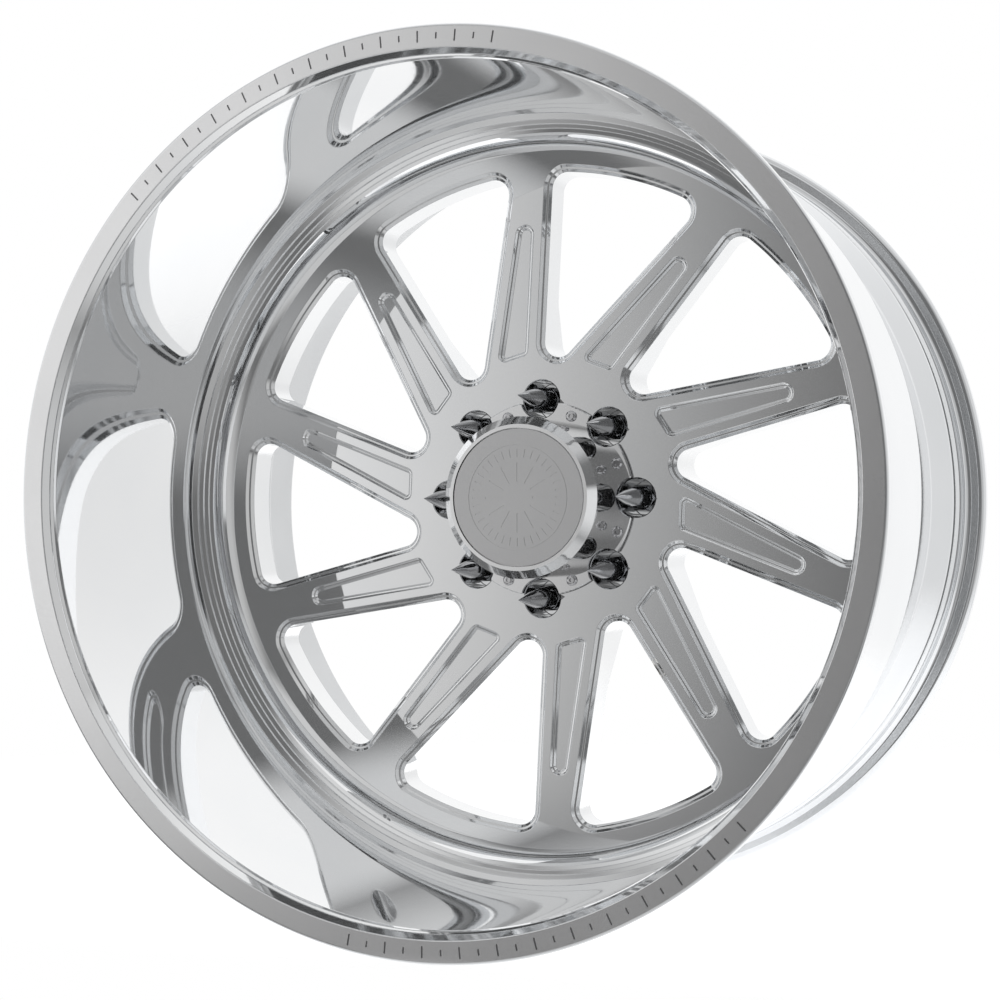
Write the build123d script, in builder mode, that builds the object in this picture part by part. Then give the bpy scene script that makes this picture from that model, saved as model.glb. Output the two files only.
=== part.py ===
"""Forged 26 x 16 inch, eight-lug wheel with a stepped deep lip, ten swept spokes and a bolted centre cap.

Millimetres. The wheel turns about the Y axis, its street side faces -Y and +Z is up. The origin lies on
the wheel axis at the middle of the rim's overall width.
"""
import os
from math import cos, radians, sin, tan

from build123d import *

os.makedirs("parts", exist_ok=True)

# ---------------------------------------------------------------- rim sizes (26 x 16 J, outset 101)
bead_r = 330.2
flange_height = 17.3
flange_r = bead_r + flange_height
rim_width = 406.4
flange_thickness = 14.8
half_width = rim_width / 2 + flange_thickness
seat_taper = 5.0
seat_width = 22.0
hump_r = bead_r + 0.3
lip_outer_r = 329.6
lip_inner_r = 323.6
drop_outer_r = 316.0
drop_inner_r = 309.5
outset = 101.0

front_y = -half_width
rear_y = half_width
front_seat_y = front_y + flange_thickness
rear_seat_y = rear_y - flange_thickness

bead_inner_r = 329.4
lip_end_y = 10.0
shelf_y = 22.0
rear_slope_start_y = 119.0
rear_slope_end_y = 152.0
rear_outer_r = bead_r - 1.4
rear_inner_r = 322.6
rear_mouth_r = 332.5

tick_count = 23
tick_pitch = 2.55
tick_depth = 0.4
tick_width = 1.3
tick_mid_r = 338.2

# ---------------------------------------------------------------- forged centre
face_y = 39.0
mount_y = outset
bore_r = 62.55
pad_r = 113.0
ring_inner_r = 292.0
ring_rear_y = 84.0
cove_end_r = 297.5
cove_step = 0.6
cove_radius = 36.0
spoke_back_y = 72.0
weld_leg = 9.0
spoke_count = 10
spoke_step = 360 / spoke_count

lead_side_angle = 86.75
lead_side_offset = 12.5
trail_side_angle = 45.03
trail_side_offset = 64.9
window_outer_r = 286.0
window_corner_r = 20.0
window_root_r = 19.3
edge_bevel = 2.5
edge_ledge = 1.5

pocket_border = 6.4
pocket_tip = 234.0
pocket_tip_r = 8.4
pocket_root_r = 6.0
pocket_bevel = 1.8
pocket_ledge = 1.0

# ---------------------------------------------------------------- lug holes and nuts (8 x 170, M14 x 1.5)
lug_count = 8
lug_pcd = 170.0
lug_r = lug_pcd / 2
lug_pocket_r = 16.2
stud_hole_r = 7.75
seat_y = 76.0
seat_r = 11.0
seat_half_angle = 30.0
seat_gap = 0.1
nut_hex = 21.0
nut_bore_r = 6.1
nut_hex_end_y = 50.0
nut_spike_r = 10.0
nut_tip_y = -17.0

# ---------------------------------------------------------------- centre cap
gasket_t = 1.0
plate_t = 4.0
plate_r = 83.0
plate_notch_r = 16.9
plate_bore_r = 54.0
plate_y = face_y - gasket_t
plate_top_y = plate_y - plate_t
turret_r = 67.5
turret_wall = 6.0
turret_top_y = -18.4
turret_bevel = 6.6
turret_flange_t = 6.0
badge_r = 57.4
badge_gap = 0.6
badge_t = 4.0
badge_recess = 4.4
turret_plate_t = 6.0
cap_screw_r = 75.0
cap_screw_depth = 16.0
turret_screw_r = 59.0
turret_screw_count = 4
oring_mid_r = 63.6
badge_screw_r = 40.0
badge_screw_count = 3

# ---------------------------------------------------------------- tyre valve
valve_angle = -62.0
valve_y = 105.0
valve_hole_r = 5.75
valve_flat_r = 10.0
valve_flat_cut = 0.5
valve_wall_in = drop_inner_r + valve_flat_cut
valve_wall_out = drop_outer_r - valve_flat_cut
valve_mouth = valve_wall_in - 24.0


def face_plane(y):
    """Plane square to the wheel axis at station y, seen from the street side, with Z up."""
    return Plane(origin=(0, y, 0), x_dir=(1, 0, 0), z_dir=(0, -1, 0))


def rear_plane(y):
    """Plane square to the wheel axis at station y, facing the vehicle, with its X axis kept."""
    return Plane(origin=(0, y, 0), x_dir=(1, 0, 0), z_dir=(0, 1, 0))


def side_point(angle, offset, distance):
    """Point on a straight spoke side that runs at an angle and misses the axis by its offset."""
    a = radians(angle)
    return (distance * cos(a) - offset * sin(a), distance * sin(a) + offset * cos(a))


def crossing(angle_a, offset_a, angle_b, offset_b):
    """Where two straight spoke sides would meet."""
    a, b = radians(angle_a), radians(angle_b)
    det = sin(b - a)
    return (
        (offset_a * cos(b) - offset_b * cos(a)) / det,
        (offset_a * sin(b) - offset_b * sin(a)) / det,
    )


def bevel_cutter(outline, y, bevel):
    """Solid that runs in from station y, its outline closing in by the bevel at 45 degrees."""
    with BuildPart() as cutter:
        with BuildSketch(face_plane(y)):
            add(outline)
        with BuildSketch(face_plane(y + bevel)):
            offset(outline, amount=-bevel)
        loft(ruled=True)
    return cutter.part


def straight_cutter(outline, y, depth, inset=0.0):
    """Solid with straight walls that runs in from station y."""
    with BuildPart() as cutter:
        with BuildSketch(face_plane(y)):
            if inset:
                offset(outline, amount=-inset)
            else:
                add(outline)
        extrude(amount=-depth)
    return cutter.part


# ---------------------------------------------------------------- window and pocket outlines
window_apex = crossing(lead_side_angle, lead_side_offset, trail_side_angle, trail_side_offset)
with BuildSketch() as window_outline:
    Polygon(
        window_apex,
        side_point(trail_side_angle, trail_side_offset, 430),
        side_point(lead_side_angle, lead_side_offset, 430),
        align=None,
    )
    Circle(window_outer_r, mode=Mode.INTERSECT)
    fillet(window_outline.vertices().sort_by_distance((0, 0, 0))[0], radius=window_root_r)
    fillet(window_outline.vertices().sort_by_distance((0, 0, 0))[-2:], radius=window_corner_r)

pocket_lead = (trail_side_angle + spoke_step, trail_side_offset - pocket_border)
pocket_trail = (lead_side_angle, lead_side_offset + pocket_border)
with BuildSketch() as pocket_outline:
    Polygon(
        side_point(*pocket_lead, 107.0),
        side_point(*pocket_trail, 122.0),
        side_point(*pocket_trail, pocket_tip),
        side_point(*pocket_lead, pocket_tip - 5.0),
        align=None,
    )
    fillet(pocket_outline.vertices().sort_by(Axis.Y)[:2], radius=pocket_root_r)
    fillet(pocket_outline.vertices().sort_by(Axis.Y)[-2:], radius=pocket_tip_r)

# ---------------------------------------------------------------- rim barrel
seat_drop = seat_width * tan(radians(seat_taper))
with BuildPart() as rim_barrel:
    with BuildSketch(Plane.XY) as barrel_profile:
        with BuildLine():
            Polyline(
                (bead_inner_r, front_y),
                (flange_r, front_y),
                (flange_r, front_seat_y),
                (bead_r, front_seat_y),
                (bead_r - seat_drop, front_seat_y + seat_width),
                (hump_r, front_seat_y + seat_width + 5),
                (hump_r, front_seat_y + seat_width + 9),
                (lip_outer_r, front_seat_y + seat_width + 14),
                (lip_outer_r, lip_end_y - 8),
                (drop_outer_r, shelf_y + 8),
                (drop_outer_r, rear_slope_start_y),
                (rear_outer_r, rear_slope_end_y),
                (rear_outer_r, rear_seat_y - seat_width - 14),
                (hump_r, rear_seat_y - seat_width - 9),
                (hump_r, rear_seat_y - seat_width - 5),
                (bead_r - seat_drop, rear_seat_y - seat_width),
                (bead_r, rear_seat_y),
                (flange_r, rear_seat_y),
                (flange_r, rear_y),
                (rear_mouth_r, rear_y),
                (rear_inner_r + 0.6, rear_seat_y - 2),
                (rear_inner_r, rear_slope_end_y + 3),
                (drop_inner_r, rear_slope_start_y + 6),
                (drop_inner_r, shelf_y),
                (drop_inner_r + 3.0, shelf_y - 1.0),
                (drop_inner_r + 3.0, shelf_y - 3.0),
                (drop_inner_r + 6.2, shelf_y - 4.4),
                (drop_inner_r + 6.2, shelf_y - 6.6),
                (drop_inner_r + 9.6, shelf_y - 8.2),
                (drop_inner_r + 9.6, shelf_y - 10.6),
                (lip_inner_r, lip_end_y - 1.0),
                (lip_inner_r, front_y + 12.0),
                (lip_inner_r + 0.9, front_y + 9.2),
                (lip_inner_r + 2.4, front_y + 7.4),
                (lip_inner_r + 2.4, front_y + 6.0),
                (bead_inner_r, front_y + 1.0),
                close=True,
            )
        make_face()
        flange_crown = barrel_profile.vertices().filter_by(lambda v: v.X > flange_r - 0.01)
        fillet(flange_crown.filter_by(lambda v: abs(v.Y) < half_width - 1), radius=6.0)
        fillet(flange_crown.filter_by(lambda v: abs(v.Y) > half_width - 1), radius=2.5)
        seat_roots = barrel_profile.vertices().filter_by(
            lambda v: abs(v.X - bead_r) < 0.01 and abs(abs(v.Y) - rear_seat_y) < 0.01
        )
        fillet(seat_roots, radius=6.0)
    revolve(axis=Axis.Y)

    valve_axis_plane = Plane(
        origin=(0, valve_y, 0),
        x_dir=(0, 1, 0),
        z_dir=(cos(radians(valve_angle)), 0, sin(radians(valve_angle))),
    )
    with BuildSketch(valve_axis_plane.offset(valve_wall_in - 20)):
        Circle(valve_hole_r)
    extrude(amount=60, mode=Mode.SUBTRACT)
    with BuildSketch(valve_axis_plane.offset(valve_wall_out)):
        Circle(valve_flat_r)
    extrude(amount=20, mode=Mode.SUBTRACT)
    with BuildSketch(valve_axis_plane.offset(valve_wall_in)):
        Circle(valve_flat_r)
    extrude(amount=-2.0, mode=Mode.SUBTRACT)

    for tick_group in (108, -72):
        for tick in range(tick_count):
            tick_angle = tick_group + (tick - (tick_count - 1) / 2) * tick_pitch
            with BuildSketch(face_plane(front_y)):
                with PolarLocations(tick_mid_r, 1, start_angle=tick_angle):
                    SlotOverall(9.0 if tick % 2 == 0 else 5.0, tick_width)
            extrude(amount=-tick_depth, mode=Mode.SUBTRACT)
rim_barrel.part.label = "rim_barrel"
export_step(rim_barrel.part, "parts/rim_barrel.step")

# ---------------------------------------------------------------- forged centre
with BuildPart() as wheel_centre:
    with BuildSketch(Plane.XY) as centre_profile:
        with BuildLine():
            Polyline(
                (drop_inner_r, shelf_y),
                (drop_inner_r, ring_rear_y),
                (ring_inner_r + 4, ring_rear_y),
                (ring_inner_r, spoke_back_y),
                (170, spoke_back_y),
                (pad_r + 6, mount_y - 6),
                (pad_r, mount_y - 4),
                (pad_r, mount_y),
                (bore_r + 1, mount_y),
                (bore_r, mount_y - 1),
                (bore_r, face_y),
                (cove_end_r, face_y),
                (cove_end_r, face_y - cove_step),
            )
            RadiusArc(
                (cove_end_r, face_y - cove_step),
                (drop_inner_r, shelf_y),
                cove_radius,
            )
        make_face()
    revolve(axis=Axis.Y)

    window_bevel = bevel_cutter(window_outline.sketch, face_y, edge_bevel)
    with BuildSketch() as window_step_outline:
        offset(window_outline.sketch, amount=-edge_bevel - edge_ledge)
    window_step = bevel_cutter(window_step_outline.sketch, face_y + edge_bevel, edge_bevel)
    window_through = straight_cutter(
        window_step_outline.sketch, face_y + edge_bevel, 60.0, inset=edge_bevel
    )
    pocket_bevel_tool = bevel_cutter(pocket_outline.sketch, face_y, pocket_bevel)
    with BuildSketch() as pocket_step_outline:
        offset(pocket_outline.sketch, amount=-pocket_bevel - pocket_ledge)
    pocket_step = bevel_cutter(
        pocket_step_outline.sketch, face_y + pocket_bevel, pocket_bevel
    )
    for spoke in range(spoke_count):
        turn = spoke * spoke_step
        for tool in (window_bevel, window_step, window_through, pocket_bevel_tool, pocket_step):
            add(tool.rotate(Axis.Y, turn), mode=Mode.SUBTRACT)

    with BuildSketch(face_plane(face_y)):
        with PolarLocations(lug_r, lug_count):
            Circle(lug_pocket_r)
    extrude(amount=-(seat_y - face_y), mode=Mode.SUBTRACT)
    pocket_rims = wheel_centre.edges().filter_by(GeomType.CIRCLE).filter_by(
        lambda e: abs(e.radius - lug_pocket_r) < 0.01 and abs(e.center().Y - face_y) < 0.01
    )
    chamfer(pocket_rims, length=0.8)

    seat_length = (seat_r - stud_hole_r) / tan(radians(seat_half_angle))
    with BuildPart(mode=Mode.PRIVATE) as seat_cone:
        with BuildSketch(Plane.XY):
            Polygon(
                (0, seat_y),
                (seat_r, seat_y),
                (stud_hole_r, seat_y + seat_length),
                (stud_hole_r, mount_y + 1),
                (0, mount_y + 1),
                align=None,
            )
        revolve(axis=Axis.Y)
    for lug in range(lug_count):
        lug_angle = radians(lug * 360 / lug_count)
        centre_line = (lug_r * cos(lug_angle), 0, lug_r * sin(lug_angle))
        add(seat_cone.part.moved(Location(centre_line)), mode=Mode.SUBTRACT)

    with BuildSketch(face_plane(face_y)):
        with PolarLocations(cap_screw_r, lug_count, start_angle=180 / lug_count):
            Circle(2.55)
    extrude(amount=-cap_screw_depth, mode=Mode.SUBTRACT)
wheel_centre.part.label = "wheel_centre"
export_step(wheel_centre.part, "parts/wheel_centre.step")

with BuildPart() as centre_weld:
    with BuildSketch(Plane.XY):
        with BuildLine():
            Polyline(
                (drop_inner_r, ring_rear_y + weld_leg),
                (drop_inner_r, ring_rear_y),
                (drop_inner_r - weld_leg, ring_rear_y),
            )
            RadiusArc(
                (drop_inner_r - weld_leg, ring_rear_y),
                (drop_inner_r, ring_rear_y + weld_leg),
                14.0,
            )
        make_face()
    revolve(axis=Axis.Y)
centre_weld.part.label = "centre_weld"
export_step(centre_weld.part, "parts/centre_weld.step")

# ---------------------------------------------------------------- spiked lug nuts
nut_seat_length = (seat_r - 0.15 - stud_hole_r) / tan(radians(seat_half_angle))
nut_base_y = seat_y - seat_gap
with BuildPart() as nut_drive:
    with BuildSketch(face_plane(nut_hex_end_y)):
        RegularPolygon(nut_hex / 2, 6, major_radius=False)
    extrude(amount=-(nut_base_y - nut_hex_end_y))
    with BuildSketch(Plane.XY):
        Polygon(
            (0, nut_hex_end_y),
            (10.2, nut_hex_end_y),
            (12.2, nut_hex_end_y + 1.4),
            (12.2, nut_base_y - 1.2),
            (seat_r - 0.15, nut_base_y),
            (0, nut_base_y),
            align=None,
        )
    revolve(axis=Axis.Y, mode=Mode.INTERSECT)

with BuildPart() as lug_nut:
    with BuildSketch(Plane.XY):
        with BuildLine():
            Polyline((0, nut_hex_end_y + 1), (0, nut_tip_y), (0.35, nut_tip_y + 0.5))
            Spline(
                (0.35, nut_tip_y + 0.5),
                (3.9, nut_tip_y + 18.0),
                (7.6, nut_tip_y + 38.0),
                (nut_spike_r, nut_hex_end_y - 5.0),
            )
            Polyline(
                (nut_spike_r, nut_hex_end_y - 5.0),
                (nut_spike_r, nut_hex_end_y - 1.8),
                (9.0, nut_hex_end_y - 1.0),
                (9.0, nut_hex_end_y + 1),
                (0, nut_hex_end_y + 1),
            )
        make_face()
    revolve(axis=Axis.Y)
    add(nut_drive.part)
    with BuildSketch(Plane.XY):
        Polygon(
            (0, nut_base_y - 1),
            (seat_r - 0.15, nut_base_y - 1),
            (seat_r - 0.15, nut_base_y),
            (stud_hole_r, nut_base_y + nut_seat_length),
            (0, nut_base_y + nut_seat_length),
            align=None,
        )
    revolve(axis=Axis.Y)
    with BuildSketch(face_plane(nut_base_y + nut_seat_length)):
        Circle(nut_bore_r)
    extrude(amount=nut_base_y + nut_seat_length - nut_hex_end_y - 4, mode=Mode.SUBTRACT)

for lug in range(lug_count):
    lug_angle = radians(lug * 360 / lug_count)
    nut = lug_nut.part.moved(Location((lug_r * cos(lug_angle), 0, lug_r * sin(lug_angle))))
    nut.label = f"lug_nut_{lug + 1}"
    export_step(nut, f"parts/lug_nut_{lug + 1}.step")

# ---------------------------------------------------------------- centre cap base and gasket
with BuildSketch() as lobed_outline:
    Circle(plate_r)
    with PolarLocations(lug_r, lug_count):
        Circle(plate_notch_r, mode=Mode.SUBTRACT)
    fillet(lobed_outline.vertices(), radius=1.2)

with BuildPart() as cap_base:
    with BuildSketch(face_plane(plate_y)):
        add(lobed_outline.sketch)
        Circle(plate_bore_r, mode=Mode.SUBTRACT)
    extrude(amount=plate_t)
    chamfer(cap_base.faces().sort_by(Axis.Y)[0].outer_wire().edges(), length=0.7)
    with Locations(face_plane(plate_top_y)):
        with PolarLocations(cap_screw_r, lug_count, start_angle=180 / lug_count):
            Hole(2.65, depth=plate_t)
    with Locations(rear_plane(plate_y)):
        with PolarLocations(turret_screw_r, turret_screw_count, start_angle=45):
            CounterSinkHole(2.1, 4.2, depth=plate_t, counter_sink_angle=90)
cap_base.part.label = "cap_base"
export_step(cap_base.part, "parts/cap_base.step")

with BuildPart() as cap_gasket:
    with BuildSketch(face_plane(face_y)):
        Circle(plate_r - 1.0)
        Circle(bore_r + 1.5, mode=Mode.SUBTRACT)
        with PolarLocations(lug_r, lug_count):
            Circle(plate_notch_r + 1.0, mode=Mode.SUBTRACT)
        with PolarLocations(cap_screw_r, lug_count, start_angle=180 / lug_count):
            Circle(3.0, mode=Mode.SUBTRACT)
    extrude(amount=gasket_t)
cap_gasket.part.label = "cap_gasket"
export_step(cap_gasket.part, "parts/cap_gasket.step")

# ---------------------------------------------------------------- centre cap turret
turret_roof_y = turret_top_y + badge_recess
turret_inner_r = turret_r - turret_wall
with BuildPart() as cap_turret:
    with BuildSketch(Plane.XY):
        Polygon(
            (0, turret_roof_y),
            (badge_r + badge_gap, turret_roof_y),
            (badge_r + badge_gap, turret_top_y),
            (turret_r - turret_bevel, turret_top_y),
            (turret_r, turret_top_y + turret_bevel),
            (turret_r, plate_top_y),
            (plate_bore_r, plate_top_y),
            (plate_bore_r, plate_top_y - turret_flange_t),
            (turret_inner_r, plate_top_y - turret_flange_t),
            (turret_inner_r, turret_roof_y + turret_plate_t + 4),
            (turret_inner_r - 4, turret_roof_y + turret_plate_t),
            (0, turret_roof_y + turret_plate_t),
            align=None,
        )
    revolve(axis=Axis.Y)
    with BuildSketch(face_plane(plate_top_y)):
        Circle(oring_mid_r + 1.2)
        Circle(oring_mid_r - 1.2, mode=Mode.SUBTRACT)
    extrude(amount=1.5, mode=Mode.SUBTRACT)
    with Locations(rear_plane(plate_top_y)):
        with PolarLocations(turret_screw_r, turret_screw_count, start_angle=45):
            Hole(2.0, depth=turret_flange_t)
    with Locations(rear_plane(turret_roof_y + turret_plate_t)):
        with PolarLocations(badge_screw_r, badge_screw_count, start_angle=-90):
            Hole(1.6, depth=turret_plate_t)
cap_turret.part.label = "cap_turret"
export_step(cap_turret.part, "parts/cap_turret.step")

with BuildPart() as cap_oring:
    with BuildSketch(Plane.XY):
        with Locations((oring_mid_r, plate_top_y - 0.75)):
            RectangleRounded(2.2, 1.5, 0.4)
    revolve(axis=Axis.Y)
cap_oring.part.label = "cap_oring"
export_step(cap_oring.part, "parts/cap_oring.step")

badge_back_y = turret_roof_y
badge_face_y = badge_back_y - badge_t
with BuildPart() as cap_badge:
    with BuildSketch(face_plane(badge_back_y)):
        Circle(badge_r)
    extrude(amount=badge_t)
    chamfer(cap_badge.faces().sort_by(Axis.Y)[0].edges(), length=0.4)
    with BuildSketch(face_plane(badge_face_y)):
        Circle(44.0)
        Circle(43.2, mode=Mode.SUBTRACT)
        with PolarLocations(37.0, 36):
            SlotOverall(7.0, 1.2)
        with PolarLocations(21.0, 12):
            SlotOverall(16.0, 1.6)
    extrude(amount=-0.35, mode=Mode.SUBTRACT)
    with Locations(rear_plane(badge_back_y)):
        with PolarLocations(badge_screw_r, badge_screw_count, start_angle=-90):
            Hole(1.5, depth=2.6)
cap_badge.part.label = "cap_badge"
export_step(cap_badge.part, "parts/cap_badge.step")

# ---------------------------------------------------------------- cap fasteners
with BuildPart() as cap_screws:
    with BuildSketch(face_plane(plate_top_y)) as heads:
        with PolarLocations(cap_screw_r, lug_count, start_angle=180 / lug_count):
            Circle(4.75)
    extrude(amount=2.75)
    crowns = cap_screws.edges().group_by(Axis.Y)[0]
    fillet(crowns, radius=2.1)
    with BuildSketch(face_plane(plate_top_y)):
        with PolarLocations(cap_screw_r, lug_count, start_angle=180 / lug_count):
            Circle(2.5)
    extrude(amount=-(plate_t + gasket_t + cap_screw_depth - 2))
    with BuildSketch(face_plane(plate_top_y - 2.75)):
        with PolarLocations(cap_screw_r, lug_count, start_angle=180 / lug_count):
            RegularPolygon(1.5, 6, major_radius=False)
    extrude(amount=-1.6, mode=Mode.SUBTRACT)
cap_screws.part.label = "cap_screws"
export_step(cap_screws.part, "parts/cap_screws.step")

with BuildPart() as turret_screw:
    with BuildSketch(Plane.XY):
        Polygon(
            (0, plate_y),
            (4.05, plate_y),
            (2.0, plate_y - 2.05),
            (2.0, plate_top_y - turret_flange_t + 0.5),
            (0, plate_top_y - turret_flange_t + 0.5),
            align=None,
        )
    revolve(axis=Axis.Y)
    with BuildSketch(face_plane(plate_y)):
        RegularPolygon(1.25, 6, major_radius=False)
    extrude(amount=1.6, mode=Mode.SUBTRACT)

with BuildPart() as turret_screws:
    for place in range(turret_screw_count):
        around = radians(45 + place * 360 / turret_screw_count)
        spot = (turret_screw_r * cos(around), 0, turret_screw_r * sin(around))
        add(turret_screw.part.moved(Location(spot)))
turret_screws.part.label = "turret_screws"
export_step(turret_screws.part, "parts/turret_screws.step")

badge_screw_seat_y = turret_roof_y + turret_plate_t
with BuildPart() as badge_screws:
    with BuildSketch(face_plane(badge_screw_seat_y)):
        with PolarLocations(badge_screw_r, badge_screw_count, start_angle=90):
            Circle(2.75)
    extrude(amount=-2.0)
    with BuildSketch(face_plane(badge_screw_seat_y)):
        with PolarLocations(badge_screw_r, badge_screw_count, start_angle=90):
            Circle(1.5)
    extrude(amount=turret_plate_t + 2.4)
    with BuildSketch(face_plane(badge_screw_seat_y + 2.0)):
        with PolarLocations(badge_screw_r, badge_screw_count, start_angle=90):
            RegularPolygon(1.0, 6, major_radius=False)
    extrude(amount=1.2, mode=Mode.SUBTRACT)
badge_screws.part.label = "badge_screws"
export_step(badge_screws.part, "parts/badge_screws.step")

# ---------------------------------------------------------------- clamp-in tyre valve
grommet_t = 2.5
washer_t = 1.5
valve_nut_t = 5.0
valve_shank_r = 4.0
valve_tip_r = 3.85


def valve_plane(distance):
    """Plane square to the valve's axis, at a distance from the wheel axis, facing outwards."""
    return valve_axis_plane.offset(distance)


with BuildPart() as valve_stem:
    with BuildSketch(valve_plane(valve_wall_out + grommet_t)):
        Circle(8.6)
    extrude(amount=3.5)
    chamfer(valve_stem.edges().filter_by(GeomType.CIRCLE), length=0.5)
    with BuildSketch(valve_plane(valve_wall_out + grommet_t + 1)):
        Circle(valve_shank_r)
    extrude(amount=-(valve_wall_out + grommet_t + 1 - valve_mouth - 7))
    with BuildSketch(valve_plane(valve_mouth)):
        Circle(valve_tip_r)
    extrude(amount=8)
    with BuildSketch(valve_plane(valve_mouth)):
        Circle(1.4)
    extrude(amount=50, mode=Mode.SUBTRACT)
    with BuildSketch(valve_plane(valve_mouth)):
        Circle(2.3)
    extrude(amount=16, mode=Mode.SUBTRACT)
valve_stem.part.label = "valve_stem"
export_step(valve_stem.part, "parts/valve_stem.step")

with BuildPart() as valve_grommet:
    with BuildSketch(valve_plane(valve_wall_out)):
        Circle(8.0)
        Circle(valve_shank_r + 0.05, mode=Mode.SUBTRACT)
    extrude(amount=grommet_t)
    with BuildSketch(valve_plane(valve_wall_out)):
        Circle(valve_hole_r - 0.05)
        Circle(valve_shank_r + 0.05, mode=Mode.SUBTRACT)
    extrude(amount=-3.5)
valve_grommet.part.label = "valve_grommet"
export_step(valve_grommet.part, "parts/valve_grommet.step")

with BuildPart() as valve_washer:
    with BuildSketch(valve_plane(valve_wall_in)):
        Circle(8.0)
        Circle(valve_shank_r + 0.1, mode=Mode.SUBTRACT)
    extrude(amount=-washer_t)
valve_washer.part.label = "valve_washer"
export_step(valve_washer.part, "parts/valve_washer.step")

with BuildPart() as valve_nut:
    with BuildSketch(valve_plane(valve_wall_in - washer_t)):
        RegularPolygon(7.0, 6, major_radius=False)
        Circle(valve_shank_r + 0.05, mode=Mode.SUBTRACT)
    extrude(amount=-valve_nut_t)
valve_nut.part.label = "valve_nut"
export_step(valve_nut.part, "parts/valve_nut.step")

with BuildPart() as valve_core:
    with BuildSketch(valve_plane(valve_mouth + 1.2)):
        Circle(2.25)
        Circle(0.8, mode=Mode.SUBTRACT)
    extrude(amount=14.8)
valve_core.part.label = "valve_core"
export_step(valve_core.part, "parts/valve_core.step")

with BuildPart() as valve_pin:
    with BuildSketch(valve_plane(valve_mouth + 0.5)):
        Circle(0.72)
    extrude(amount=19)
    with BuildSketch(valve_plane(valve_mouth + 16.4)):
        Circle(1.3)
    extrude(amount=3.6)
valve_pin.part.label = "valve_pin"
export_step(valve_pin.part, "parts/valve_pin.step")

with BuildPart() as valve_cap:
    with BuildSketch(valve_plane(valve_mouth - 2.4)):
        Circle(5.2)
        with PolarLocations(5.3, 18):
            Circle(0.35, mode=Mode.SUBTRACT)
    extrude(amount=8.9)
    with BuildSketch(valve_plane(valve_mouth - 0.4)):
        Circle(valve_tip_r + 0.08)
    extrude(amount=10, mode=Mode.SUBTRACT)
valve_cap.part.label = "valve_cap"
export_step(valve_cap.part, "parts/valve_cap.step")
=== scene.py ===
"""A polished deep-lip forged wheel in a plain pale studio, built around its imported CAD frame.

Metres, in the frame's own axes: the wheel turns about Y, its street side faces -Y and +Z is up.
Lengths that are easier to read in millimetres are written as a number times MM.
"""
from math import atan2, ceil, cos, pi, radians, sin, tan

import bmesh
import bpy
from mathutils import Matrix, Vector


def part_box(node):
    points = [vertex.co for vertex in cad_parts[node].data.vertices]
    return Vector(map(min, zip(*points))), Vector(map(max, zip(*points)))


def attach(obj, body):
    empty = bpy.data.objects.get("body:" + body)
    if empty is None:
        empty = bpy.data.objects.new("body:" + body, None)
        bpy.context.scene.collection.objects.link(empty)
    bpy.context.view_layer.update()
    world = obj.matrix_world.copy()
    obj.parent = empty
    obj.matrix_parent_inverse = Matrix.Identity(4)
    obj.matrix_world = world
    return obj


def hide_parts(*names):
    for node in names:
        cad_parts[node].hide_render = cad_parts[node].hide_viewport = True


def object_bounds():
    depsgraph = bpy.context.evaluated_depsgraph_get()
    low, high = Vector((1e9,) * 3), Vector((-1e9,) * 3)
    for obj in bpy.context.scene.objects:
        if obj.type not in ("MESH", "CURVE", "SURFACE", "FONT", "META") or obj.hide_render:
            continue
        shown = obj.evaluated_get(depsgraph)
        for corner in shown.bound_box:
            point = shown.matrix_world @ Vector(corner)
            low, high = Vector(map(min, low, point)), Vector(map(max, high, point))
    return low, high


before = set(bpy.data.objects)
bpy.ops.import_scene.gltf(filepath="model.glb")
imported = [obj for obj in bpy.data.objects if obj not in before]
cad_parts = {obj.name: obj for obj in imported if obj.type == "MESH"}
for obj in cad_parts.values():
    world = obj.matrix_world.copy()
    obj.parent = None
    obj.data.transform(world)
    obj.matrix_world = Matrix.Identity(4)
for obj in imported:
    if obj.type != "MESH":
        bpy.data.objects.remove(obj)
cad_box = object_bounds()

MM = 0.001

# ---------------------------------------------------------------- places read from the frame
rim_low, rim_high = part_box("rim_barrel")
rim_r = -rim_low.x
front_y = rim_low.y
rear_y = rim_high.y
floor_z = cad_box[0].z

pad_back_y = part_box("wheel_centre")[1].y

# ---------------------------------------------------------------- camera
camera_azimuth = 21.73
camera_elevation = -1.14
camera_roll = -0.19
camera_distance = 1.763
camera_aim = Vector((-0.0229, 0.0, -0.0016))
camera_lens = 75.64
camera_sensor = 36.0

# ---------------------------------------------------------------- floor and light
floor_reach = 1.6
floor_solid_reach = 0.45
floor_colour = (0.72, 0.72, 0.725, 1.0)
floor_glow = 0.66
floor_start_y = -0.25
floor_full_y = -0.15

# soft lights in front: azimuth to the right, elevation, full within, gone beyond (degrees), strength
studio_boxes = [
    (-52, 5, 16, 42, 0.80),
    (-8, 27, 6, 15, 0.60),
    (-10, -29, 6, 14, 0.55),
    (30, -20, 6, 22, 0.26),
    (80, 10, 20, 45, 0.40),
    (0, 90, 45, 60, 0.50),
    (0, -90, 45, 62, 0.45),
]
front_shade = 0.16
# the first light fades out below the horizon, between these heights of a unit direction
horizon_low = -0.21
horizon_high = -0.09
back_left_tone = 1.05
back_right_tone = 0.82
white = (1.0, 1.0, 1.0, 1.0)

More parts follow.
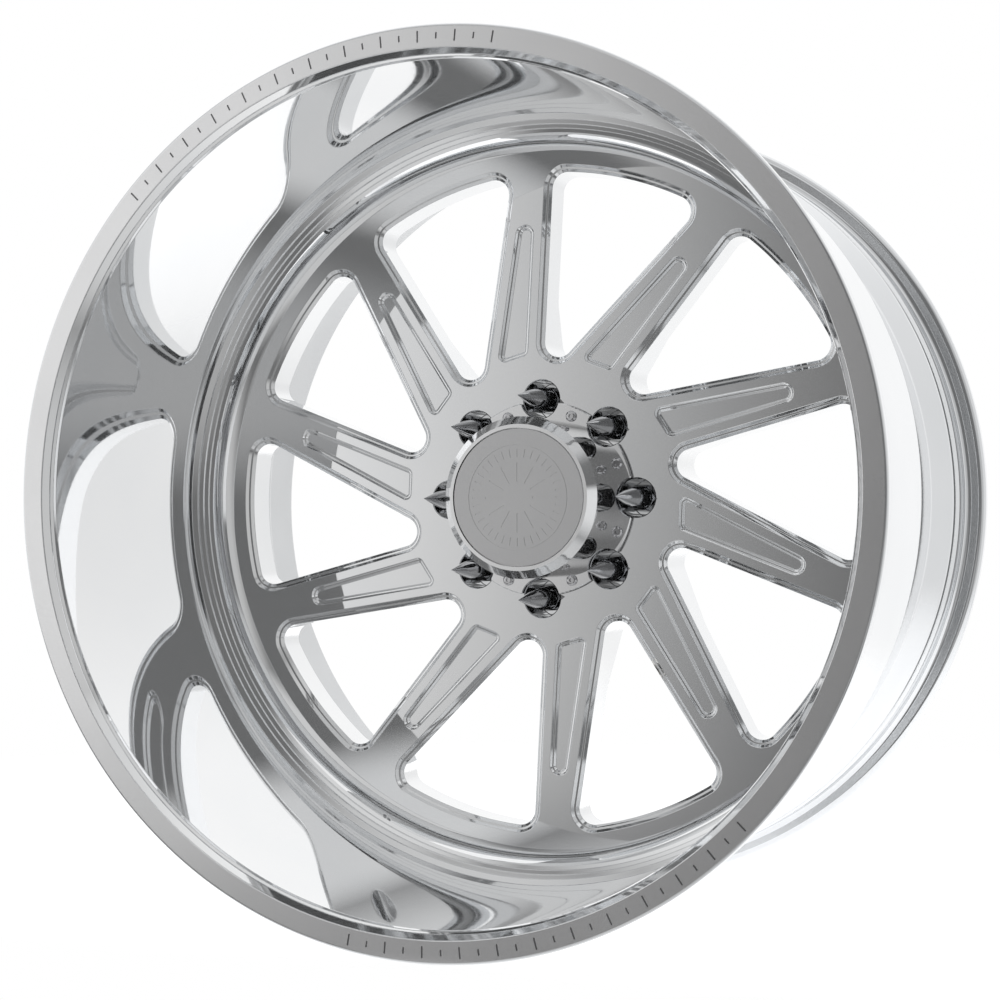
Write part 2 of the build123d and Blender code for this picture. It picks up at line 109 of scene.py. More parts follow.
# ---------------------------------------------------------------- rim sizes
bead_r = 330.2 * MM
bead_inner_r = 329.4 * MM
hump_r = 330.5 * MM
seat_width = 22.0 * MM
seat_drop = seat_width * tan(radians(5))
flange_t = 14.8 * MM
front_seat_y = front_y + flange_t
rear_seat_y = rear_y - flange_t
lip_r = 323.6 * MM
lip_outer_r = 329.6 * MM
well_r = 309.5 * MM
well_outer_r = 316.0 * MM
shelf_y = 22.0 * MM
slope_start_y = 119.0 * MM
slope_end_y = 152.0 * MM
rear_outer_r = bead_r - 1.4 * MM
rear_inner_r = 322.6 * MM
rear_mouth_r = 332.5 * MM
rim_sides = 480
rim_sharp = radians(25)

valve_angle = radians(-62)
valve_y = 105.0 * MM
valve_hole_r = 5.75 * MM
valve_spot_r = 10.0 * MM
valve_wall_in = well_r + 0.5 * MM
valve_wall_out = well_outer_r - 0.5 * MM

# middles of the two groups of index marks and the step between marks, in degrees
mark_groups = (108, -72)
mark_count = 23
mark_pitch = 2.55
mark_r = 338.2 * MM
mark_half_width = 0.65 * MM
long_mark_half = 4.5 * MM
short_mark_half = 2.5 * MM
mark_depth = 0.4 * MM

# ---------------------------------------------------------------- forged centre sizes
face_y = 39.0 * MM
ring_back_y = 84.0 * MM
ring_inner_r = 292.0 * MM
spoke_back_y = 72.0 * MM
hub_slope_r = 170.0 * MM
bore_r = 62.55 * MM
pad_r = 113.0 * MM
cove_end_r = 297.5 * MM
cove_step = 0.6 * MM
cove_radius = 36.0 * MM
cove_steps = 12
centre_sides = 360
centre_sharp = radians(12)

# spoke sides: angle in degrees, and how far the side passes from the axis
spokes = 10
lead_side = (86.75, 12.5 * MM)
trail_side = (45.03, 64.9 * MM)
window_r = 286.0 * MM
window_tip_r = 20.0 * MM
window_root_r = 19.3 * MM
window_bevel = 2.5 * MM
window_ledge = 1.5 * MM
window_inset = 2 * window_bevel + window_ledge

# the pocket's corners are given by their distances along the spoke's two sides
pocket_border = 6.4 * MM
pocket_lead_root = 107.0 * MM
pocket_lead_tip = 229.0 * MM
pocket_trail_root = 122.0 * MM
pocket_trail_tip = 234.0 * MM
pocket_root_r = 6.0 * MM
pocket_tip_r = 8.4 * MM
pocket_bevel = 1.8 * MM
pocket_ledge = 1.0 * MM

lugs = 8
lug_r = 85.0 * MM
lug_pocket_r = 16.2 * MM
lug_pocket_chamfer = 0.8 * MM
seat_y = 76.0 * MM
seat_r = 11.0 * MM
stud_hole_r = 7.75 * MM
seat_end_y = 81.63 * MM
cap_screw_r = 75.0 * MM
cap_screw_hole_r = 2.55 * MM
cap_screw_depth = 16.0 * MM


# ---------------------------------------------------------------- node materials
def new_material(name):
    """An empty node material with a Principled shader on its output."""
    material = bpy.data.materials.new(name)
    material.use_nodes = True
    tree = material.node_tree
    tree.nodes.clear()
    shader = tree.nodes.new("ShaderNodeBsdfPrincipled")
    output = tree.nodes.new("ShaderNodeOutputMaterial")
    tree.links.new(shader.outputs["BSDF"], output.inputs["Surface"])
    return material, tree, shader


def noise(tree, scale, detail=3.0, stretch=(1.0, 1.0, 1.0)):
    """Noise in the object's own metres, stretched along its axes."""
    place = tree.nodes.new("ShaderNodeTexCoord")
    mapping = tree.nodes.new("ShaderNodeMapping")
    mapping.inputs["Scale"].default_value = stretch
    texture = tree.nodes.new("ShaderNodeTexNoise")
    texture.inputs["Scale"].default_value = scale
    texture.inputs["Detail"].default_value = detail
    tree.links.new(place.outputs["Object"], mapping.inputs["Vector"])
    tree.links.new(mapping.outputs["Vector"], texture.inputs["Vector"])
    return texture.outputs["Fac"]


def spread(tree, value, low, high):
    """Maps a 0 to 1 value onto low to high."""
    ramp = tree.nodes.new("ShaderNodeMapRange")
    ramp.inputs["From Min"].default_value = 0.3
    ramp.inputs["From Max"].default_value = 0.7
    ramp.inputs["To Min"].default_value = low
    ramp.inputs["To Max"].default_value = high
    tree.links.new(value, ramp.inputs["Value"])
    return ramp.outputs["Result"]


def blend_colours(tree, value, first, second):
    """Colour that runs from first to second with a 0 to 1 value."""
    mix = tree.nodes.new("ShaderNodeMix")
    mix.data_type = "RGBA"
    mix.inputs["A"].default_value = (*first, 1.0)
    mix.inputs["B"].default_value = (*second, 1.0)
    tree.links.new(value, mix.inputs["Factor"])
    return mix.outputs["Result"]


def bump(tree, shader, height, distance, strength=1.0):
    """Bump from a height value, with its depth in metres."""
    node = tree.nodes.new("ShaderNodeBump")
    node.inputs["Distance"].default_value = distance
    node.inputs["Strength"].default_value = strength
    tree.links.new(height, node.inputs["Height"])
    tree.links.new(node.outputs["Normal"], shader.inputs["Normal"])


def metal(name, dark, light, rough, grain_scale, grain_stretch=(1, 1, 1), grain_depth=0.0):
    """Metal with slight changes of tone and gloss, and a fine grain where it has depth."""
    material, tree, shader = new_material(name)
    shader.inputs["Metallic"].default_value = 0.94
    cloud = noise(tree, 9.0, 2.0)
    tone = blend_colours(tree, spread(tree, cloud, 0.0, 1.0), dark, light)
    tree.links.new(tone, shader.inputs["Base Color"])
    grain = noise(tree, grain_scale, 4.0, grain_stretch)
    tree.links.new(spread(tree, grain, *rough), shader.inputs["Roughness"])
    if grain_depth:
        bump(tree, shader, grain, grain_depth)
    return material


def moulded(name, dark, light, rough, grain_scale, grain_depth):
    """Moulded rubber or plastic with a fine skin."""
    material, tree, shader = new_material(name)
    grain = noise(tree, grain_scale, 4.0)
    tone = blend_colours(tree, spread(tree, grain, 0.0, 1.0), dark, light)
    tree.links.new(tone, shader.inputs["Base Color"])
    tree.links.new(spread(tree, grain, *rough), shader.inputs["Roughness"])
    bump(tree, shader, grain, grain_depth)
    return material


polished = metal("polished_aluminium", (0.86, 0.87, 0.88), (0.89, 0.895, 0.90), (0.015, 0.035), 240.0)
satin_flange = metal(
    "satin_flange", (0.80, 0.80, 0.805), (0.85, 0.85, 0.855), (0.20, 0.27), 900.0, grain_depth=0.000006
)
machined = metal(
    "machined_aluminium", (0.62, 0.63, 0.64), (0.68, 0.69, 0.70), (0.16, 0.26), 700.0, (1, 18, 1)
)
rolled = metal("polished_barrel", (0.80, 0.815, 0.83), (0.84, 0.85, 0.865), (0.05, 0.09), 300.0, (1, 14, 1))
weld_metal = metal("weld_metal", (0.52, 0.52, 0.53), (0.66, 0.66, 0.67), (0.28, 0.42), 500.0)
dark_chrome = metal("dark_chrome", (0.50, 0.505, 0.52), (0.55, 0.555, 0.57), (0.02, 0.045), 400.0)
# Engraved marks: the rougher satin is their own, but their dark colour is painted shade standing in for the
# shade in the grooves.
groove_shade = metal("marks_groove_shade", (0.20, 0.20, 0.205), (0.27, 0.27, 0.275), (0.35, 0.5), 1500.0)
cap_chrome = metal("cap_polish", (0.86, 0.865, 0.87), (0.90, 0.90, 0.905), (0.02, 0.04), 300.0)
badge_satin = metal(
    "badge_satin", (0.67, 0.67, 0.675), (0.72, 0.72, 0.725), (0.30, 0.38), 1200.0, grain_depth=0.00001
)
screw_steel = metal("screw_steel", (0.62, 0.62, 0.635), (0.70, 0.70, 0.71), (0.06, 0.14), 900.0)
nickel = metal("nickel_plate", (0.70, 0.68, 0.65), (0.76, 0.74, 0.71), (0.06, 0.12), 900.0)
brass = metal("turned_brass", (0.78, 0.58, 0.30), (0.84, 0.65, 0.36), (0.16, 0.26), 900.0)
rubber = moulded("black_rubber", (0.018, 0.018, 0.019), (0.03, 0.03, 0.031), (0.55, 0.7), 1500.0, 0.00003)


# ---------------------------------------------------------------- mesh helpers
def rounded_profile(corners, hold=0.25 * MM, arc_step=radians(9)):
    """Points of a closed profile whose corners are (radius, station, fillet).

    Each straight run gets a point just inside both its ends, so that it stays flat under smooth shading.
    """
    points = []
    count = len(corners)
    for i in range(count):
        here = Vector(corners[i][:2])
        before = Vector(corners[i - 1][:2])
        after = Vector(corners[(i + 1) % count][:2])
        back = (before - here).normalized()
        ahead = (after - here).normalized()
        fillet = corners[i][2]
        if fillet <= 0:
            points += [here + back * hold, here, here + ahead * hold]
            continue
        turn = pi - back.angle(ahead)
        reach = fillet * tan(turn / 2)
        start, end = here + back * reach, here + ahead * reach
        middle = here + (back + ahead).normalized() * (fillet / cos(turn / 2))
        points.append(start + back * hold)
        steps = max(2, round(turn / arc_step))
        from_middle = start - middle
        way = 1 if from_middle.x * (end - middle).y - from_middle.y * (end - middle).x > 0 else -1
        for step in range(steps + 1):
            a = way * turn * step / steps
            points.append(
                middle
                + Vector(
                    (
                        from_middle.x * cos(a) - from_middle.y * sin(a),
                        from_middle.x * sin(a) + from_middle.y * cos(a),
                    )
                )
            )
        points.append(end + ahead * hold)
    return points


def revolved(name, profile, segments, sharp):
    """Closed ring: a closed (radius, station) profile turned about the Y axis."""
    vertices = []
    for k in range(segments):
        a = 2 * pi * k / segments
        for p in profile:
            vertices.append((p[0] * cos(a), p[1], p[0] * sin(a)))
    n = len(profile)
    faces = []
    for k in range(segments):
        here, there = k * n, ((k + 1) % segments) * n
        for i in range(n):
            j = (i + 1) % n
            faces.append((here + i, here + j, there + j, there + i))
    mesh = bpy.data.meshes.new(name)
    mesh.from_pydata(vertices, [], faces)
    finish_mesh(mesh, sharp)
    piece = bpy.data.objects.new(name, mesh)
    bpy.context.scene.collection.objects.link(piece)
    return piece


def finish_mesh(mesh, sharp):
    """Outward normals, smooth shading and sharp edges above an angle."""
    work = bmesh.new()
    work.from_mesh(mesh)
    bmesh.ops.recalc_face_normals(work, faces=work.faces)
    work.to_mesh(mesh)
    work.free()
    mesh.shade_smooth()
    mesh.set_sharp_from_angle(angle=sharp)


def stacked(name, rings):
    """Closed solid through rings of equal length; each ring is (station, [(x, z), ...])."""
    vertices = [(x, y, z) for y, ring in rings for x, z in ring]
    n = len(rings[0][1])
    last = (len(rings) - 1) * n
    faces = [tuple(range(n)), tuple(range(last, last + n))]
    for low in range(0, last, n):
        for i in range(n):
            j = (i + 1) % n
            faces.append((low + i, low + n + i, low + n + j, low + j))
    mesh = bpy.data.meshes.new(name)
    mesh.from_pydata(vertices, [], faces)
    return mesh


def arc_points(arcs, inset, longest=3 * MM, turn=radians(6)):
    """Points of a convex outline made of (centre, radius, start, end) arcs, moved in by an inset."""
    points = []
    for middle, radius, start, end in arcs:
        steps = max(ceil((end - start) / turn), ceil((end - start) * radius / longest))
        for step in range(steps + 1):
            a = start + (end - start) * step / steps
            points.append(middle + Vector((cos(a), sin(a))) * (radius - inset))
    return points


def wall_path(walls):
    """Points of an open wall profile whose corners are (reach, station, fillet)."""
    return rounded_profile(walls, hold=0.12 * MM, arc_step=radians(11))[1:-1]


def shaped_cutter(name, arcs, walls):
    """Cutter with an outline of arcs whose walls follow (inset, station, fillet) corners."""
    path = wall_path(walls)
    return stacked(name, [(p.y, [tuple(q) for q in arc_points(arcs, p.x)]) for p in path])


def round_cutter(name, walls, sides=96):
    """Turned cutter about the Y axis whose walls follow (radius, station, fillet) corners."""
    path = wall_path(walls)
    around = [2 * pi * k / sides for k in range(sides)]
    return stacked(name, [(p.y, [(p.x * cos(a), p.x * sin(a)) for a in around]) for p in path])


def placed(mesh, turn, out=0.0):
    """Copy of a cutter moved out from the axis and then turned about it."""
    copy = mesh.copy()
    copy.transform(Matrix.Rotation(turn, 4, "Y") @ Matrix.Translation((out, 0.0, 0.0)))
    return copy


def cut(piece, cutters, sharp):
    """Takes cutters away from a piece and shades the result again."""
    work = bmesh.new()
    for mesh in cutters:
        work.from_mesh(mesh)
    bmesh.ops.recalc_face_normals(work, faces=work.faces)
    tool_mesh = bpy.data.meshes.new("cutter")
    work.to_mesh(tool_mesh)
    work.free()
    tool = bpy.data.objects.new("cutter", tool_mesh)
    bpy.context.scene.collection.objects.link(tool)
    boolean = piece.modifiers.new("cut", "BOOLEAN")
    boolean.operation = "DIFFERENCE"
    boolean.solver = "EXACT"
    boolean.object = tool
    evaluated = piece.evaluated_get(bpy.context.evaluated_depsgraph_get())
    mesh = bpy.data.meshes.new_from_object(evaluated)
    piece.modifiers.clear()
    piece.data = mesh
    bpy.data.objects.remove(tool)
    mesh.shade_smooth()
    mesh.set_sharp_from_angle(angle=sharp)


def paint(piece, *materials):
    """Gives a piece its material slots."""
    piece.data.materials.clear()
    for material in materials:
        piece.data.materials.append(material)


def paint_node(node, material):
    """Gives a CAD node a better material, through its object's slot."""
    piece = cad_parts[node]
    for holder in piece.material_slots:
        holder.link = "OBJECT"
        holder.material = material


# ---------------------------------------------------------------- rim barrel
def barrel_corners():
    """Corners (radius, station, fillet) of the barrel's section, round its outside and back inside."""
    shelf = [
        (well_r, shelf_y, 0),
        (well_r + 3.0 * MM, shelf_y - 1.0 * MM, 0.25 * MM),
        (well_r + 3.0 * MM, shelf_y - 3.0 * MM, 0.35 * MM),
        (well_r + 6.2 * MM, shelf_y - 4.4 * MM, 0.25 * MM),
        (well_r + 6.2 * MM, shelf_y - 6.6 * MM, 0.35 * MM),
        (well_r + 9.6 * MM, shelf_y - 8.2 * MM, 0.25 * MM),
        (well_r + 9.6 * MM, shelf_y - 10.6 * MM, 0.35 * MM),
        (lip_r, shelf_y - 13.0 * MM, 0.6 * MM),
    ]
    lip_mouth = [
        (lip_r, front_y + 12.0 * MM, 1.5 * MM),
        (lip_r + 0.9 * MM, front_y + 9.2 * MM, 0.8 * MM),
        (lip_r + 2.4 * MM, front_y + 7.4 * MM, 0.4 * MM),
        (lip_r + 2.4 * MM, front_y + 6.0 * MM, 0.3 * MM),
        (bead_inner_r, front_y + 1.0 * MM, 0.4 * MM),
    ]
    front_outside = [
        (bead_inner_r, front_y, 0.5 * MM),
        (rim_r, front_y, 2.5 * MM),
        (rim_r, front_seat_y, 6 * MM),
        (bead_r, front_seat_y, 6 * MM),
        (bead_r - seat_drop, front_seat_y + seat_width, 3 * MM),
        (hump_r, front_seat_y + seat_width + 5 * MM, 4 * MM),
        (hump_r, front_seat_y + seat_width + 9 * MM, 3 * MM),
        (lip_outer_r, front_seat_y + seat_width + 14 * MM, 3 * MM),
        (lip_outer_r, shelf_y - 20 * MM, 8 * MM),
        (well_outer_r, shelf_y + 8 * MM, 8 * MM),
    ]
    rear_outside = [
        (well_outer_r, slope_start_y, 12 * MM),
        (rear_outer_r, slope_end_y, 12 * MM),
        (rear_outer_r, rear_seat_y - seat_width - 14 * MM, 3 * MM),
        (hump_r, rear_seat_y - seat_width - 9 * MM, 3 * MM),
        (hump_r, rear_seat_y - seat_width - 5 * MM, 3 * MM),
        (bead_r - seat_drop, rear_seat_y - seat_width, 3 * MM),
        (bead_r, rear_seat_y, 6 * MM),
        (rim_r, rear_seat_y, 6 * MM),
        (rim_r, rear_y, 2.5 * MM),
    ]
    rear_inside = [
        (rear_mouth_r, rear_y, 1.5 * MM),
        (rear_inner_r + 0.6 * MM, rear_seat_y - 2 * MM, 6 * MM),
        (rear_inner_r, slope_end_y + 3 * MM, 10 * MM),
        (well_r, slope_start_y + 6 * MM, 10 * MM),
    ]
    return front_outside + rear_outside + rear_inside + shelf + lip_mouth


def valve_cutter():
    """Valve hole with a flat spot on both sides of the wall."""
    cutter = round_cutter(
        "valve_hole",
        [
            (valve_spot_r, valve_wall_in - 10 * MM, 0),
            (valve_spot_r, valve_wall_in, 0),
            (valve_hole_r, valve_wall_in, 0),
            (valve_hole_r, valve_wall_out, 0),
            (valve_spot_r, valve_wall_out, 0),
            (valve_spot_r, valve_wall_out + 19.5 * MM, 0),
        ],
        48,
    )
    way = Vector((cos(valve_angle), 0.0, sin(valve_angle)))
    turn = Vector((0, 1, 0)).rotation_difference(way).to_matrix().to_4x4()
    cutter.transform(Matrix.Translation((0, valve_y, 0)) @ turn)
    return cutter


def mark_cutter(angle, half_length):
    """Slot engraved along a radius of the flange face."""
    out = Vector((cos(angle), sin(angle)))
    reach = half_length - mark_half_width
    ends = [
        (out * (mark_r + reach), mark_half_width, angle - pi / 2, angle + pi / 2),
        (out * (mark_r - reach), mark_half_width, angle + pi / 2, angle + 3 * pi / 2),
    ]
    levels = ((front_y - 0.3 * MM, -0.1 * MM), (front_y + mark_depth, 0.12 * MM))
    return stacked(
        "mark",
        [(y, [tuple(q) for q in arc_points(ends, inset, turn=radians(30))]) for y, inset in levels],
    )


def barrel_slot(face):
    """Material slot of a barrel face: 0 polished, 1 flange, 2 outside, 3 rear inside, 4 marks, dark with
    painted groove shade.
    """
    r = Vector((face.center.x, face.center.z)).length
    y = face.center.y
    outward = face.normal.dot(Vector((face.center.x, 0, face.center.z)))
    # slot 4: the faces of the mark grooves, which get the dark painted groove shade
    if abs(r - mark_r) < 6 * MM and front_y + 0.02 * MM < y < front_y + mark_depth + 0.2 * MM:
        return 4
    if abs(face.normal.y) > 0.99 and y < front_y + 0.2 * MM:
        return 1
    if r > well_outer_r - 1 * MM and outward > 0:
        return 2
    if y > shelf_y + 1 * MM:
        return 3
    return 0


barrel = revolved("barrel_polished", rounded_profile(barrel_corners()), rim_sides, rim_sharp)
rim_cutters = [valve_cutter()]
for group in mark_groups:
    for mark in range(mark_count):
        mark_angle = radians(group + (mark - (mark_count - 1) / 2) * mark_pitch)
        rim_cutters.append(mark_cutter(mark_angle, short_mark_half if mark % 2 else long_mark_half))
cut(barrel, rim_cutters, rim_sharp)
paint(barrel, polished, satin_flange, rolled, machined, groove_shade)
for face in barrel.data.polygons:
    face.material_index = barrel_slot(face)
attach(barrel, "wheel")
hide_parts("rim_barrel")


# ---------------------------------------------------------------- forged centre
def centre_profile():
    """Closed section of the centre, with the cove between its face and the barrel's shelf."""
    cove_end = Vector((cove_end_r, face_y - cove_step))
    cove_start = Vector((well_r, shelf_y))
    corners = [
        (well_r, ring_back_y, 0.6 * MM),
        (ring_inner_r + 4 * MM, ring_back_y, 2.0 * MM),
        (ring_inner_r, spoke_back_y, 3.0 * MM),
        (hub_slope_r, spoke_back_y, 20.0 * MM),
        (pad_r + 6 * MM, pad_back_y - 6 * MM, 2.0 * MM),
        (pad_r, pad_back_y - 4 * MM, 0.6 * MM),
        (pad_r, pad_back_y, 0.6 * MM),
        (bore_r + 1 * MM, pad_back_y, 0),
        (bore_r, pad_back_y - 1 * MM, 0),
        (bore_r, face_y, 0.3 * MM),
        (window_r + 2.5 * MM, face_y, 0),
        (cove_end_r, face_y, 0),
        (cove_end_r + 0.25 * MM, face_y - cove_step, 0),
    ]
    across = cove_start - cove_end
    height = (cove_radius**2 - across.length_squared / 4) ** 0.5
    middle = (cove_start + cove_end) / 2 - Vector((-across.y, across.x)).normalized() * height
    first, last = heading(cove_end - middle), heading(cove_start - middle)
    points = rounded_profile(corners, hold=0.15 * MM)
    for step in range(cove_steps + 1):
        a = first + (last - first) * step / cove_steps
        points.append(middle + Vector((cos(a), sin(a))) * cove_radius)
    return points


def heading(v):
    """Angle of a flat vector."""
    return atan2(v.y, v.x)


def square_to(angle):
    """Direction square to a straight side that runs at an angle in degrees."""
    return Vector((-sin(radians(angle)), cos(radians(angle))))


def meet(first, second):
    """Point at given distances along two directions."""
    (m, p), (n, q) = first, second
    det = m.x * n.y - m.y * n.x
    return Vector(((p * n.y - q * m.y) / det, (m.x * q - n.x * p) / det))


def arc_between(middle, radius, first, second):
    """Arc turned counterclockwise from one outward direction to the next."""
    start = heading(first)
    return middle, radius, start, start + (heading(second) - start) % (2 * pi)


def tip_centre(normal, distance):
    """Centre of the fillet between a straight spoke side and the window's outer arc."""
    along = Vector((normal.y, -normal.x))
    return normal * distance + along * ((window_r - window_tip_r) ** 2 - distance**2) ** 0.5


def window_arcs():
    """Window outline between two spokes: outer arc, two tips and the root."""
    lead, trail = square_to(lead_side[0]), square_to(trail_side[0])
    lead_tip = tip_centre(lead, lead_side[1] - window_tip_r)
    trail_tip = tip_centre(trail, trail_side[1] + window_tip_r)
    root = meet((lead, lead_side[1] - window_root_r), (trail, trail_side[1] + window_root_r))
    return [
        arc_between(Vector((0, 0)), window_r, trail_tip, lead_tip),
        arc_between(lead_tip, window_tip_r, lead_tip, lead),
        arc_between(root, window_root_r, lead, -trail),
        arc_between(trail_tip, window_tip_r, -trail, trail_tip),
    ]


def on_side(side, distance):
    """Point on a straight side, at a distance along it."""
    normal = square_to(side[0])
    return normal * side[1] + Vector((normal.y, -normal.x)) * distance


def pocket_arcs():
    """Outline of the pocket in a spoke: two root and two tip corners."""
    lead = (trail_side[0] + 360 / spokes, trail_side[1] - pocket_border)
    trail = (lead_side[0], lead_side[1] + pocket_border)
    corners = [
        (on_side(lead, pocket_lead_root), pocket_root_r),
        (on_side(trail, pocket_trail_root), pocket_root_r),
        (on_side(trail, pocket_trail_tip), pocket_tip_r),
        (on_side(lead, pocket_lead_tip), pocket_tip_r),
    ]
    arcs = []
    for i, (here, radius) in enumerate(corners):
        before = here - corners[i - 1][0]
        after = corners[(i + 1) % len(corners)][0] - here
        first = Vector((before.y, -before.x)).normalized()
        second = Vector((after.y, -after.x)).normalized()
        middle = here - (first + second).normalized() * (radius / cos(first.angle(second) / 2))
        arcs.append(arc_between(middle, radius, first, second))
    return arcs


def window_cutter():
    """Window with a micro bevel and two bevels with a ledge between them, right through."""
    walls = [
        (-1.5 * MM, face_y - 0.40 * MM, 0),
        (0.3 * MM, face_y + 0.08 * MM, 0.5 * MM),
        (window_bevel + 0.1 * MM, face_y + window_bevel - 0.1 * MM, 0.4 * MM),
        (window_bevel + window_ledge, face_y + window_bevel, 0.5 * MM),
        (window_inset, face_y + 2 * window_bevel, 0.8 * MM),
        (window_inset, pad_back_y + 5 * MM, 0),
    ]
    return shaped_cutter("window", window_arcs(), walls)


def pocket_cutter():
    """Shallow pocket with a micro bevel, two bevels with a ledge between them and a flat floor."""
    floor_y = face_y + 2 * pocket_bevel
    walls = [
        (-1.2 * MM, face_y - 0.32 * MM, 0),
        (0.3 * MM, face_y + 0.08 * MM, 0.4 * MM),
        (pocket_bevel, face_y + pocket_bevel - 0.1 * MM, 0.3 * MM),
        (pocket_bevel + pocket_ledge, face_y + pocket_bevel, 0.4 * MM),
        (4.5 * MM, floor_y, 0.4 * MM),
        (5.0 * MM, floor_y, 0),
    ]
    return shaped_cutter("pocket", pocket_arcs(), walls)


def lug_cutter():
    """Lug pocket with a chamfered mouth, a conical seat and a stud hole."""
    walls = [
        (lug_pocket_r + 1.8 * MM, face_y - 1.0 * MM, 0),
        (lug_pocket_r, face_y + lug_pocket_chamfer, 0.3 * MM),
        (lug_pocket_r, seat_y, 0.4 * MM),
        (seat_r, seat_y, 0.2 * MM),
        (stud_hole_r, seat_end_y, 0.5 * MM),
        (stud_hole_r, pad_back_y + 2 * MM, 0),
    ]
    return round_cutter("lug_hole", walls)


def cap_screw_cutter():
    """Blind hole for one of the cap's screws."""
    walls = [(cap_screw_hole_r, face_y - 1 * MM, 0), (cap_screw_hole_r, face_y + cap_screw_depth, 0)]
    return round_cutter("screw_hole", walls, 24)


centre = revolved("centre_polished", centre_profile(), centre_sides, centre_sharp)
window, pocket, lug_hole, screw_hole = window_cutter(), pocket_cutter(), lug_cutter(), cap_screw_cutter()
centre_cutters = []
for spoke in range(spokes):
    centre_cutters.append(placed(window, 2 * pi * spoke / spokes))
    centre_cutters.append(placed(pocket, 2 * pi * spoke / spokes))
for lug in range(lugs):
    centre_cutters.append(placed(lug_hole, 2 * pi * lug / lugs, lug_r))
    centre_cutters.append(placed(screw_hole, 2 * pi * (lug + 0.5) / lugs, cap_screw_r))
cut(centre, centre_cutters, centre_sharp)
paint(centre, polished)
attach(centre, "wheel")
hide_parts("wheel_centre")


# ---------------------------------------------------------------- CAD nodes with better materials
node_materials = {
    "centre_weld": weld_metal,
    "cap_base": cap_chrome,
    "cap_gasket": rubber,
    "cap_turret": cap_chrome,
    "cap_oring": rubber,
    "cap_badge": badge_satin,
    "cap_screws": screw_steel,
    "turret_screws": screw_steel,
    "badge_screws": screw_steel,
    "valve_stem": nickel,
    "valve_grommet": rubber,
    "valve_washer": nickel,
    "valve_nut": nickel,
    "valve_core": brass,
    "valve_pin": brass,
    "valve_cap": nickel,
}
for node, material in node_materials.items():
    paint_node(node, material)
for number in range(1, lugs + 1):
    paint_node(f"lug_nut_{number}", dark_chrome)


# ---------------------------------------------------------------- studio
def smooth_step(tree, value, start, end, low, high):
    """Value that eases from low to high as the input goes from start to end."""
    node = tree.nodes.new("ShaderNodeMapRange")
    node.interpolation_type = "SMOOTHSTEP"
    for name, amount in (("From Min", start), ("From Max", end), ("To Min", low), ("To Max", high)):
        node.inputs[name].default_value = amount
    tree.links.new(value, node.inputs["Value"])
    return node.outputs["Result"]


def combine(tree, operation, first, second):
    """Math node on two values, each a socket or a number."""
    node = tree.nodes.new("ShaderNodeMath")
    node.operation = operation
    for socket, value in zip(node.inputs, (first, second)):
        if isinstance(value, (int, float)):
            socket.default_value = value
        else:
            tree.links.new(value, socket)
    return node.outputs["Value"]


def make_floor():
    """Plain pale floor that fades out just in front of the wheel and far from it."""
    mesh = bpy.data.meshes.new("floor")
    sides = 96
    vertices = [
        (floor_reach * cos(2 * pi * k / sides), floor_reach * sin(2 * pi * k / sides), floor_z)
        for k in range(sides)
    ]
    mesh.from_pydata(vertices, [], [tuple(range(sides))])
    floor = bpy.data.objects.new("floor", mesh)
    bpy.context.scene.collection.objects.link(floor)
    material, tree, shader = new_material("pale_floor")
    shader.inputs["Base Color"].default_value = floor_colour
    shader.inputs["Roughness"].default_value = 0.9
    shader.inputs["Emission Color"].default_value = white
    shader.inputs["Emission Strength"].default_value = floor_glow
    place = tree.nodes.new("ShaderNodeTexCoord")
    split = tree.nodes.new("ShaderNodeSeparateXYZ")
    tree.links.new(place.outputs["Object"], split.inputs["Vector"])
    from_axis = tree.nodes.new("ShaderNodeVectorMath")
    from_axis.operation = "SUBTRACT"
    from_axis.inputs[1].default_value = (0.0, 0.0, floor_z)
    tree.links.new(place.outputs["Object"], from_axis.inputs[0])
    distance = tree.nodes.new("ShaderNodeVectorMath")
    distance.operation = "LENGTH"
    tree.links.new(from_axis.outputs["Vector"], distance.inputs[0])
    near = smooth_step(tree, distance.outputs["Value"], floor_solid_reach, floor_reach * 0.98, 1.0, 0.0)
    under = smooth_step(tree, split.outputs["Y"], floor_start_y, floor_full_y, 0.0, 1.0)
    tree.links.new(combine(tree, "MULTIPLY", near, under), shader.inputs["Alpha"])
    mesh.materials.append(material)


def soft_box(tree, way, azimuth, elevation, inner, outer, strength):
    """Soft round light about a direction given in degrees to the right of the front and up."""
    a, e = radians(azimuth), radians(elevation)
    dot = tree.nodes.new("ShaderNodeVectorMath")
    dot.operation = "DOT_PRODUCT"
    dot.inputs[1].default_value = (sin(a) * cos(e), -cos(a) * cos(e), sin(e))
    tree.links.new(way, dot.inputs[0])
    return smooth_step(tree, dot.outputs["Value"], cos(radians(outer)), cos(radians(inner)), 0.0, strength)


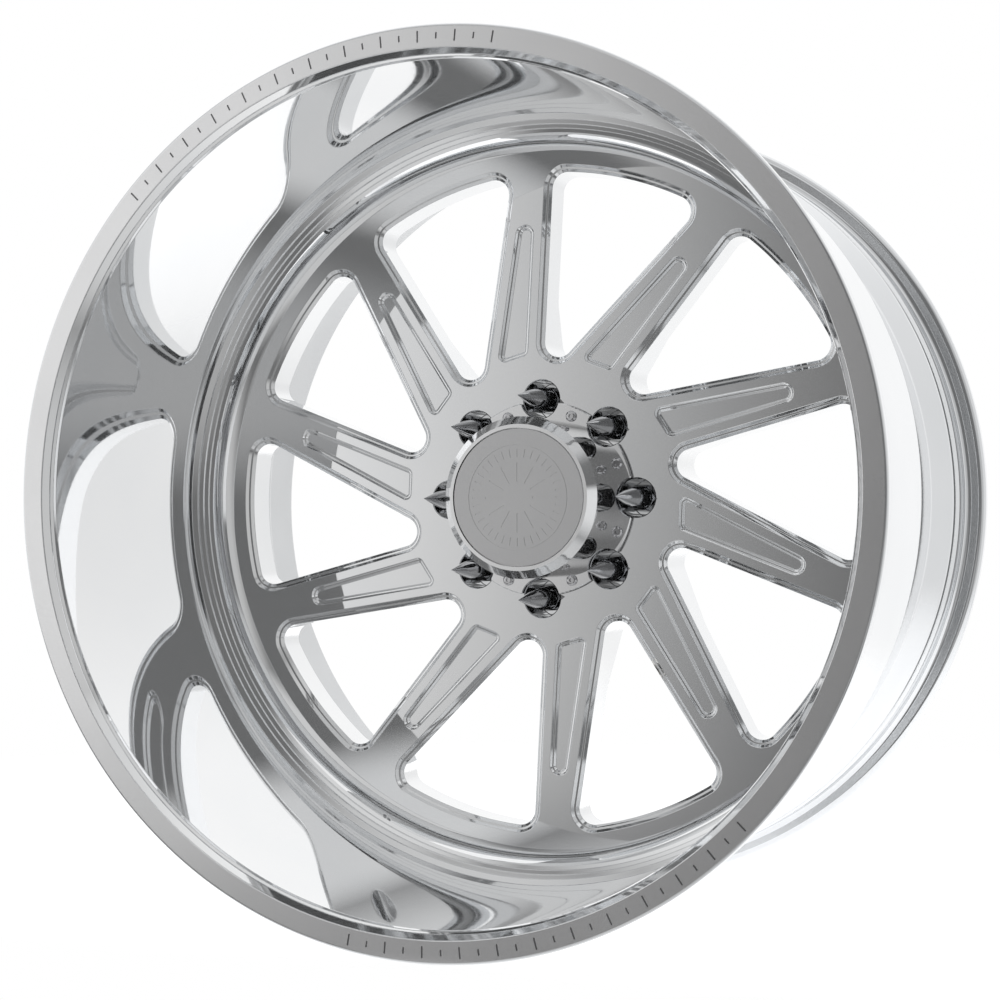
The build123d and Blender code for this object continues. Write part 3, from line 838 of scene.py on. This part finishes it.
def make_world():
    """Soft white surround: bright behind, with soft boxes in a shaded front."""
    world = bpy.data.worlds.new("studio")
    bpy.context.scene.world = world
    world.use_nodes = True
    tree = world.node_tree
    tree.nodes.clear()
    place = tree.nodes.new("ShaderNodeTexCoord")
    way = place.outputs["Generated"]
    split = tree.nodes.new("ShaderNodeSeparateXYZ")
    tree.links.new(way, split.inputs["Vector"])
    front_tone = soft_box(tree, way, *studio_boxes[0])
    horizon = smooth_step(tree, split.outputs["Z"], horizon_low, horizon_high, 0.0, 1.0)
    front_tone = combine(tree, "MULTIPLY", front_tone, horizon)
    for box in studio_boxes[1:]:
        front_tone = combine(tree, "MAXIMUM", front_tone, soft_box(tree, way, *box))
    front_tone = combine(tree, "ADD", front_tone, front_shade)
    back_tone = smooth_step(tree, split.outputs["X"], 0.1, 0.75, back_left_tone, back_right_tone)
    behind = smooth_step(tree, split.outputs["Y"], -0.35, 0.15, 0.0, 1.0)
    mix = tree.nodes.new("ShaderNodeMix")
    mix.data_type = "FLOAT"
    tree.links.new(behind, mix.inputs["Factor"])
    tree.links.new(front_tone, mix.inputs[2])
    tree.links.new(back_tone, mix.inputs[3])
    shade = tree.nodes.new("ShaderNodeBackground")
    shade.inputs["Color"].default_value = white
    tree.links.new(mix.outputs[0], shade.inputs["Strength"])
    # the lens itself sees a plain backdrop in every direction
    backdrop = tree.nodes.new("ShaderNodeBackground")
    backdrop.inputs["Color"].default_value = white
    backdrop.inputs["Strength"].default_value = 1.0
    ray = tree.nodes.new("ShaderNodeLightPath")
    seen = tree.nodes.new("ShaderNodeMixShader")
    tree.links.new(ray.outputs["Is Camera Ray"], seen.inputs["Fac"])
    tree.links.new(shade.outputs["Background"], seen.inputs[1])
    tree.links.new(backdrop.outputs["Background"], seen.inputs[2])
    output = tree.nodes.new("ShaderNodeOutputWorld")
    tree.links.new(seen.outputs["Shader"], output.inputs["Surface"])


def make_camera():
    """Camera that looks at its aim point from an azimuth and an elevation."""
    a, e = radians(camera_azimuth), radians(camera_elevation)
    back = Vector((sin(a) * cos(e), -cos(a) * cos(e), sin(e)))
    data = bpy.data.cameras.new("camera")
    data.sensor_width = camera_sensor
    data.lens = camera_lens
    camera = bpy.data.objects.new("camera", data)
    bpy.context.scene.collection.objects.link(camera)
    turn = (-back).to_track_quat("-Z", "Y").to_matrix().to_4x4()
    camera.matrix_world = (
        Matrix.Translation(camera_aim + back * camera_distance)
        @ turn
        @ Matrix.Rotation(radians(camera_roll), 4, "Z")
    )
    bpy.context.scene.camera = camera


make_floor()
make_world()
make_camera()
bpy.context.scene.view_settings.view_transform = "Standard"
